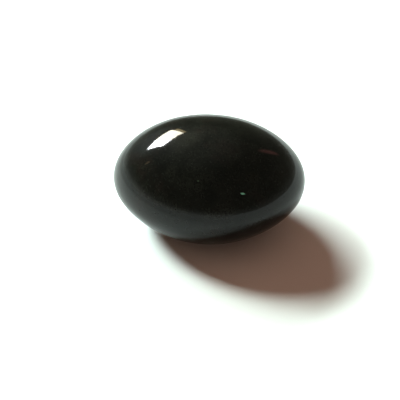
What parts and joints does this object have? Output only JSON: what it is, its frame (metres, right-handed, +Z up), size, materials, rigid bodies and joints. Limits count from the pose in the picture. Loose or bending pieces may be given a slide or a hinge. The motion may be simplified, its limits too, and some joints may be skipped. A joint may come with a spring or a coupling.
{
  "type": "basalt massage stone",
  "caption": "Palm-sized oval pebble of black basalt, domed above and shallower below, polished to a high gloss, with a small flat to rest on.",
  "frame": {"origin": "centre of the stone's bounding box in plan, at the height of the flat face it rests on", "axes": "+Z up out of the dome, +X along the stone's longest extent, +Y across it towards the back"},
  "size_m": [0.0624, 0.049, 0.0369],
  "materials": {
    "basalt": "polished"
  },
  "bodies": {
    "root": {"massage_stone": "basalt"}
  },
  "joints": []
}
